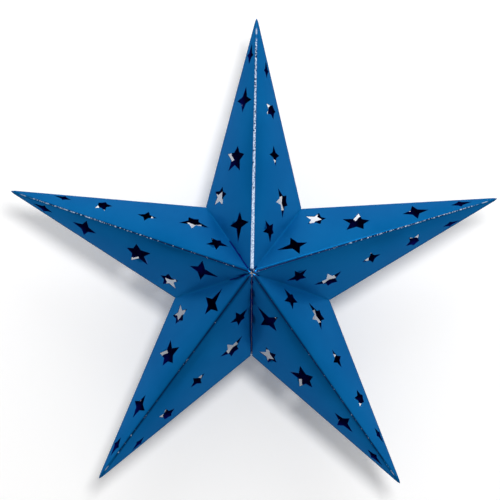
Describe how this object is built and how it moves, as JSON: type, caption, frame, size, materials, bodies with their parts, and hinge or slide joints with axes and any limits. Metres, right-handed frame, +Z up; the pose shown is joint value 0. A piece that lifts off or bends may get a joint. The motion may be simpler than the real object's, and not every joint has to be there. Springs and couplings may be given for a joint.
{
  "type": "folding paper star",
  "caption": "Hollow folding star of blue foil-faced card with creased arms, raised centre and star-shaped cut-outs; folds up like a book.",
  "frame": {"origin": "centre of the star, on the plane of the five tips", "axes": "+Z up along the top arm, -Y out of the front face, +X to the right seen from the front"},
  "size_m": [0.3018, 0.0944, 0.2871],
  "materials": {
    "foil_card": "blue metallic foil on card, both faces",
    "ridge_foil": "worn metallic foil along a crease",
    "tape": "double-sided paper tape"
  },
  "bodies": {
    "top_front_ridge": {"top_front_ridge": "ridge_foil"},
    "top_front_right_panel": {"top_front_right_panel": "foil_card"},
    "right_front_left_panel": {"right_front_left_panel": "foil_card"},
    "upper_right_front_flanges": {"upper_right_front_flanges": "foil_card"},
    "right_front_right_panel": {"right_front_right_panel": "foil_card"},
    "right_front_ridge": {"right_front_ridge": "ridge_foil"},
    "lower_right_front_left_panel": {"lower_right_front_left_panel": "foil_card"},
    "lower_right_front_flanges": {"lower_right_front_flanges": "foil_card"},
    "lower_right_front_right_panel": {"lower_right_front_right_panel": "foil_card"},
    "lower_right_front_ridge": {"lower_right_front_ridge": "ridge_foil"},
    "bottom_front_flange_right": {"bottom_front_flange_right": "foil_card"},
    "top_front_left_panel": {"top_front_left_panel": "foil_card"},
    "left_front_right_panel": {"left_front_right_panel": "foil_card"},
    "upper_left_front_flanges": {"upper_left_front_flanges": "foil_card"},
    "left_front_left_panel": {"left_front_left_panel": "foil_card"},
    "left_front_ridge": {"left_front_ridge": "ridge_foil"},
    "lower_left_front_right_panel": {"lower_left_front_right_panel": "foil_card"},
    "lower_left_front_flanges": {"lower_left_front_flanges": "foil_card"},
    "lower_left_front_left_panel": {"lower_left_front_left_panel": "foil_card"},
    "lower_left_front_ridge": {"lower_left_front_ridge": "ridge_foil"},
    "bottom_front_flange_left": {"bottom_front_flange_left": "foil_card", "front_closing_tape": "tape"},
    "top_back_left_panel": {"top_back_left_panel": "foil_card"},
    "top_back_right_panel": {"top_back_right_panel": "foil_card"},
    "top_back_ridge": {"top_back_ridge": "ridge_foil"},
    "right_back_left_panel": {"right_back_left_panel": "foil_card"},
    "right_back_right_panel": {"right_back_right_panel": "foil_card"},
    "right_back_ridge": {"right_back_ridge": "ridge_foil"},
    "lower_right_back_left_panel": {"lower_right_back_left_panel": "foil_card"},
    "lower_right_back_right_panel": {"lower_right_back_right_panel": "foil_card"},
    "lower_right_back_ridge": {"lower_right_back_ridge": "ridge_foil"},
    "lower_left_back_left_panel": {"lower_left_back_left_panel": "foil_card"},
    "lower_left_back_right_panel": {"lower_left_back_right_panel": "foil_card"},
    "lower_left_back_ridge": {"lower_left_back_ridge": "ridge_foil"},
    "left_back_left_panel": {"left_back_left_panel": "foil_card"},
    "left_back_right_panel": {"left_back_right_panel": "foil_card"},
    "left_back_ridge": {"left_back_ridge": "ridge_foil"},
    "upper_right_back_flanges": {"upper_right_back_flanges": "foil_card"},
    "lower_right_back_flanges": {"lower_right_back_flanges": "foil_card"},
    "upper_left_back_flanges": {"upper_left_back_flanges": "foil_card"},
    "lower_left_back_flanges": {"lower_left_back_flanges": "foil_card"},
    "bottom_back_flange_right": {"bottom_back_flange_right": "foil_card"},
    "bottom_back_flange_left": {"bottom_back_flange_left": "foil_card", "back_closing_tape": "tape"}
  },
  "joints": [
    {"name": "fold", "type": "hinge", "parent": "top_front_ridge", "child": "top_front_right_panel", "pos_m": [0.0008, -0.024, 0.08], "axis": [-0.0048, 0.2873, 0.9578], "range_deg": [0, 38.8]},
    {"name": "upper_right_seam_fold", "type": "hinge", "parent": "top_front_right_panel", "child": "right_front_left_panel", "pos_m": [0.01577, -0.02379, 0.02171], "axis": [-0.4208, -0.6981, -0.5792], "range_deg": [0, 114.4]},
    {"name": "upper_right_seam_crease", "type": "hinge", "parent": "top_front_right_panel", "child": "upper_right_front_flanges", "pos_m": [0.01546, -0.02368, 0.02179], "axis": [-0.4208, -0.6981, -0.5792], "range_deg": [0, 57.5]},
    {"name": "right_ridge_fold", "type": "hinge", "parent": "right_front_left_panel", "child": "right_front_right_panel", "pos_m": [0.07601, -0.02373, 0.0247], "axis": [0.9114, 0.2857, 0.2961], "range_deg": [0, 78.1]},
    {"name": "right_ridge_crease", "type": "hinge", "parent": "right_front_left_panel", "child": "right_front_ridge", "pos_m": [0.07584, -0.024, 0.02548], "axis": [0.9124, 0.2873, 0.2914], "range_deg": [0, 39.3]},
    {"name": "lower_right_seam_fold", "type": "hinge", "parent": "right_front_right_panel", "child": "lower_right_front_left_panel", "pos_m": [0.02552, -0.02379, -0.00829], "axis": [-0.6809, -0.6981, 0.2212], "range_deg": [0, 114.4]},
    {"name": "lower_right_seam_crease", "type": "hinge", "parent": "right_front_right_panel", "child": "lower_right_front_flanges", "pos_m": [0.0255, -0.02368, -0.00797], "axis": [-0.6809, -0.6981, 0.2212], "range_deg": [0, 57.5]},
    {"name": "lower_right_ridge_fold", "type": "hinge", "parent": "lower_right_front_left_panel", "child": "lower_right_front_right_panel", "pos_m": [0.04698, -0.02373, -0.06466], "axis": [0.5633, 0.2857, -0.7753], "range_deg": [0, 78.1]},
    {"name": "lower_right_ridge_crease", "type": "hinge", "parent": "lower_right_front_left_panel", "child": "lower_right_front_ridge", "pos_m": [0.04767, -0.024, -0.06425], "axis": [0.5591, 0.2873, -0.7777], "range_deg": [0, 39.3]},
    {"name": "bottom_front_flange_crease_right", "type": "hinge", "parent": "lower_right_front_right_panel", "child": "bottom_front_flange_right", "pos_m": [0.0003, -0.02368, -0.02672], "axis": [0, -0.6981, 0.716], "range_deg": [0, 57.5]},
    {"name": "top_ridge_crease_left", "type": "hinge", "parent": "top_front_ridge", "child": "top_front_left_panel", "pos_m": [-0.0008, -0.024, 0.08], "axis": [-0.0048, -0.2873, -0.9578], "range_deg": [0, 39.3]},
    {"name": "upper_left_seam_fold", "type": "hinge", "parent": "top_front_left_panel", "child": "left_front_right_panel", "pos_m": [-0.01577, -0.02379, 0.02171], "axis": [-0.4208, 0.6981, 0.5792], "range_deg": [0, 114.4]},
    {"name": "upper_left_seam_crease", "type": "hinge", "parent": "top_front_left_panel", "child": "upper_left_front_flanges", "pos_m": [-0.01546, -0.02368, 0.02179], "axis": [-0.4208, 0.6981, 0.5792], "range_deg": [0, 57.5]},
    {"name": "left_ridge_fold", "type": "hinge", "parent": "left_front_right_panel", "child": "left_front_left_panel", "pos_m": [-0.07601, -0.02373, 0.0247], "axis": [0.9114, -0.2857, -0.2961], "range_deg": [0, 78.1]},
    {"name": "left_ridge_crease", "type": "hinge", "parent": "left_front_right_panel", "child": "left_front_ridge", "pos_m": [-0.07584, -0.024, 0.02548], "axis": [0.9124, -0.2873, -0.2914], "range_deg": [0, 39.3]},
    {"name": "lower_left_seam_fold", "type": "hinge", "parent": "left_front_left_panel", "child": "lower_left_front_right_panel", "pos_m": [-0.02552, -0.02379, -0.00829], "axis": [-0.6809, 0.6981, -0.2212], "range_deg": [0, 114.4]},
    {"name": "lower_left_seam_crease", "type": "hinge", "parent": "left_front_left_panel", "child": "lower_left_front_flanges", "pos_m": [-0.0255, -0.02368, -0.00797], "axis": [-0.6809, 0.6981, -0.2212], "range_deg": [0, 57.5]},
    {"name": "lower_left_ridge_fold", "type": "hinge", "parent": "lower_left_front_right_panel", "child": "lower_left_front_left_panel", "pos_m": [-0.04698, -0.02373, -0.06466], "axis": [0.5633, -0.2857, 0.7753], "range_deg": [0, 78.1]},
    {"name": "lower_left_ridge_crease", "type": "hinge", "parent": "lower_left_front_right_panel", "child": "lower_left_front_ridge", "pos_m": [-0.04767, -0.024, -0.06425], "axis": [0.5591, -0.2873, 0.7777], "range_deg": [0, 39.3]},
    {"name": "bottom_front_flange_crease_left", "type": "hinge", "parent": "lower_left_front_left_panel", "child": "bottom_front_flange_left", "pos_m": [-0.0003, -0.02368, -0.02672], "axis": [0, 0.6981, -0.716], "range_deg": [0, 57.5]},
    {"name": "top_edge_left", "type": "hinge", "parent": "top_front_left_panel", "child": "top_back_left_panel", "pos_m": [-0.01507, 0, 0.10072], "axis": [0.2402, 0, 0.9707], "range_deg": [0, 74.3]},
    {"name": "top_edge_right", "type": "hinge", "parent": "top_front_right_panel", "child": "top_back_right_panel", "pos_m": [0.01507, 0, 0.10072], "axis": [0.2402, 0, -0.9707], "range_deg": [0, 74.3]},
    {"name": "top_back_ridge_crease", "type": "hinge", "parent": "top_back_left_panel", "child": "top_back_ridge", "pos_m": [-0.0008, 0.024, 0.08], "axis": [-0.0048, 0.2873, -0.9578], "range_deg": [0, 39.3]},
    {"name": "right_edge_left", "type": "hinge", "parent": "right_front_left_panel", "child": "right_back_left_panel", "pos_m": [0.09113, 0, 0.04545], "axis": [0.9974, 0, 0.0716], "range_deg": [0, 74.3]},
    {"name": "right_edge_right", "type": "hinge", "parent": "right_front_right_panel", "child": "right_back_right_panel", "pos_m": [0.10044, 0, 0.01679], "axis": [-0.849, 0, -0.5284], "range_deg": [0, 74.3]},
    {"name": "right_back_ridge_crease", "type": "hinge", "parent": "right_back_left_panel", "child": "right_back_ridge", "pos_m": [0.07584, 0.024, 0.02548], "axis": [-0.9124, 0.2873, -0.2914], "range_deg": [0, 39.3]},
    {"name": "lower_right_edge_left", "type": "hinge", "parent": "lower_right_front_left_panel", "child": "lower_right_back_left_panel", "pos_m": [0.07139, 0, -0.07263], "axis": [0.3763, 0, -0.9265], "range_deg": [0, 74.3]},
    {"name": "lower_right_edge_right", "type": "hinge", "parent": "lower_right_front_right_panel", "child": "lower_right_back_right_panel", "pos_m": [0.04701, 0, -0.09034], "axis": [-0.7649, 0, 0.6442], "range_deg": [0, 74.3]},
    {"name": "lower_right_back_ridge_crease", "type": "hinge", "parent": "lower_right_back_left_panel", "child": "lower_right_back_ridge", "pos_m": [0.04767, 0.024, -0.06425], "axis": [-0.5591, 0.2873, 0.7777], "range_deg": [0, 39.3]},
    {"name": "lower_left_edge_left", "type": "hinge", "parent": "lower_left_front_left_panel", "child": "lower_left_back_left_panel", "pos_m": [-0.04701, 0, -0.09034], "axis": [-0.7649, 0, -0.6442], "range_deg": [0, 74.3]},
    {"name": "lower_left_edge_right", "type": "hinge", "parent": "lower_left_front_right_panel", "child": "lower_left_back_right_panel", "pos_m": [-0.07139, 0, -0.07263], "axis": [0.3763, 0, 0.9265], "range_deg": [0, 74.3]},
    {"name": "lower_left_back_ridge_crease", "type": "hinge", "parent": "lower_left_back_left_panel", "child": "lower_left_back_ridge", "pos_m": [-0.04638, 0.024, -0.06519], "axis": [0.5669, 0.2873, 0.7721], "range_deg": [0, 39.3]},
    {"name": "left_edge_left", "type": "hinge", "parent": "left_front_left_panel", "child": "left_back_left_panel", "pos_m": [-0.10044, 0, 0.01679], "axis": [-0.849, 0, 0.5284], "range_deg": [0, 74.3]},
    {"name": "left_edge_right", "type": "hinge", "parent": "left_front_right_panel", "child": "left_back_right_panel", "pos_m": [-0.09113, 0, 0.04545], "axis": [0.9974, 0, -0.0716], "range_deg": [0, 74.3]},
    {"name": "left_back_ridge_crease", "type": "hinge", "parent": "left_back_left_panel", "child": "left_back_ridge", "pos_m": [-0.07633, 0.024, 0.02396], "axis": [0.9095, 0.2873, -0.3005], "range_deg": [0, 39.3]},
    {"name": "upper_right_back_seam_crease", "type": "hinge", "parent": "top_back_right_panel", "child": "upper_right_back_flanges", "pos_m": [0.01546, 0.02368, 0.02179], "axis": [0.4208, -0.6981, 0.5792], "range_deg": [0, 57.5]},
    {"name": "lower_right_back_seam_crease", "type": "hinge", "parent": "right_back_right_panel", "child": "lower_right_back_flanges", "pos_m": [0.0255, 0.02368, -0.00797], "axis": [0.6809, -0.6981, -0.2212], "range_deg": [0, 57.5]},
    {"name": "upper_left_back_seam_crease", "type": "hinge", "parent": "top_back_left_panel", "child": "upper_left_back_flanges", "pos_m": [-0.01546, 0.02368, 0.02179], "axis": [0.4208, 0.6981, -0.5792], "range_deg": [0, 57.5]},
    {"name": "lower_left_back_seam_crease", "type": "hinge", "parent": "left_back_left_panel", "child": "lower_left_back_flanges", "pos_m": [-0.0255, 0.02368, -0.00797], "axis": [0.6809, 0.6981, 0.2212], "range_deg": [0, 57.5]},
    {"name": "bottom_back_flange_crease_right", "type": "hinge", "parent": "lower_right_back_right_panel", "child": "bottom_back_flange_right", "pos_m": [0.0003, 0.02368, -0.02672], "axis": [0, -0.6981, -0.716], "range_deg": [0, 57.5]},
    {"name": "bottom_back_flange_crease_left", "type": "hinge", "parent": "lower_left_back_left_panel", "child": "bottom_back_flange_left", "pos_m": [-0.0003, 0.02368, -0.02672], "axis": [0, 0.6981, 0.716], "range_deg": [0, 57.5]}
  ],
  "couplings": [
    {"joint": "upper_right_seam_fold", "follows": "fold", "ratio": 2.9359},
    {"joint": "upper_right_seam_crease", "follows": "fold", "ratio": 1.468},
    {"joint": "right_ridge_fold", "follows": "fold", "ratio": 2},
    {"joint": "right_ridge_crease", "follows": "fold", "ratio": 1},
    {"joint": "lower_right_seam_fold", "follows": "fold", "ratio": 2.9359},
    {"joint": "lower_right_seam_crease", "follows": "fold", "ratio": 1.468},
    {"joint": "lower_right_ridge_fold", "follows": "fold", "ratio": 2},
    {"joint": "lower_right_ridge_crease", "follows": "fold", "ratio": 1},
    {"joint": "bottom_front_flange_crease_right", "follows": "fold", "ratio": 1.468},
    {"joint": "top_ridge_crease_left", "follows": "fold", "ratio": 1},
    {"joint": "upper_left_seam_fold", "follows": "fold", "ratio": 2.9359},
    {"joint": "upper_left_seam_crease", "follows": "fold", "ratio": 1.468},
    {"joint": "left_ridge_fold", "follows": "fold", "ratio": 2},
    {"joint": "left_ridge_crease", "follows": "fold", "ratio": 1},
    {"joint": "lower_left_seam_fold", "follows": "fold", "ratio": 2.9359},
    {"joint": "lower_left_seam_crease", "follows": "fold", "ratio": 1.468},
    {"joint": "lower_left_ridge_fold", "follows": "fold", "ratio": 2},
    {"joint": "lower_left_ridge_crease", "follows": "fold", "ratio": 1},
    {"joint": "bottom_front_flange_crease_left", "follows": "fold", "ratio": 1.468},
    {"joint": "top_edge_left", "follows": "fold", "ratio": 1.9024},
    {"joint": "top_edge_right", "follows": "fold", "ratio": 1.9024},
    {"joint": "top_back_ridge_crease", "follows": "fold", "ratio": 1},
    {"joint": "right_edge_left", "follows": "fold", "ratio": 1.9024},
    {"joint": "right_edge_right", "follows": "fold", "ratio": 1.9024},
    {"joint": "right_back_ridge_crease", "follows": "fold", "ratio": 1},
    {"joint": "lower_right_edge_left", "follows": "fold", "ratio": 1.9024},
    {"joint": "lower_right_edge_right", "follows": "fold", "ratio": 1.9024},
    {"joint": "lower_right_back_ridge_crease", "follows": "fold", "ratio": 1},
    {"joint": "lower_left_edge_left", "follows": "fold", "ratio": 1.9024},
    {"joint": "lower_left_edge_right", "follows": "fold", "ratio": 1.9024},
    {"joint": "lower_left_back_ridge_crease", "follows": "fold", "ratio": 1},
    {"joint": "left_edge_left", "follows": "fold", "ratio": 1.9024},
    {"joint": "left_edge_right", "follows": "fold", "ratio": 1.9024},
    {"joint": "left_back_ridge_crease", "follows": "fold", "ratio": 1},
    {"joint": "upper_right_back_seam_crease", "follows": "fold", "ratio": 1.468},
    {"joint": "lower_right_back_seam_crease", "follows": "fold", "ratio": 1.468},
    {"joint": "upper_left_back_seam_crease", "follows": "fold", "ratio": 1.468},
    {"joint": "lower_left_back_seam_crease", "follows": "fold", "ratio": 1.468},
    {"joint": "bottom_back_flange_crease_right", "follows": "fold", "ratio": 1.468},
    {"joint": "bottom_back_flange_crease_left", "follows": "fold", "ratio": 1.468}
  ]
}
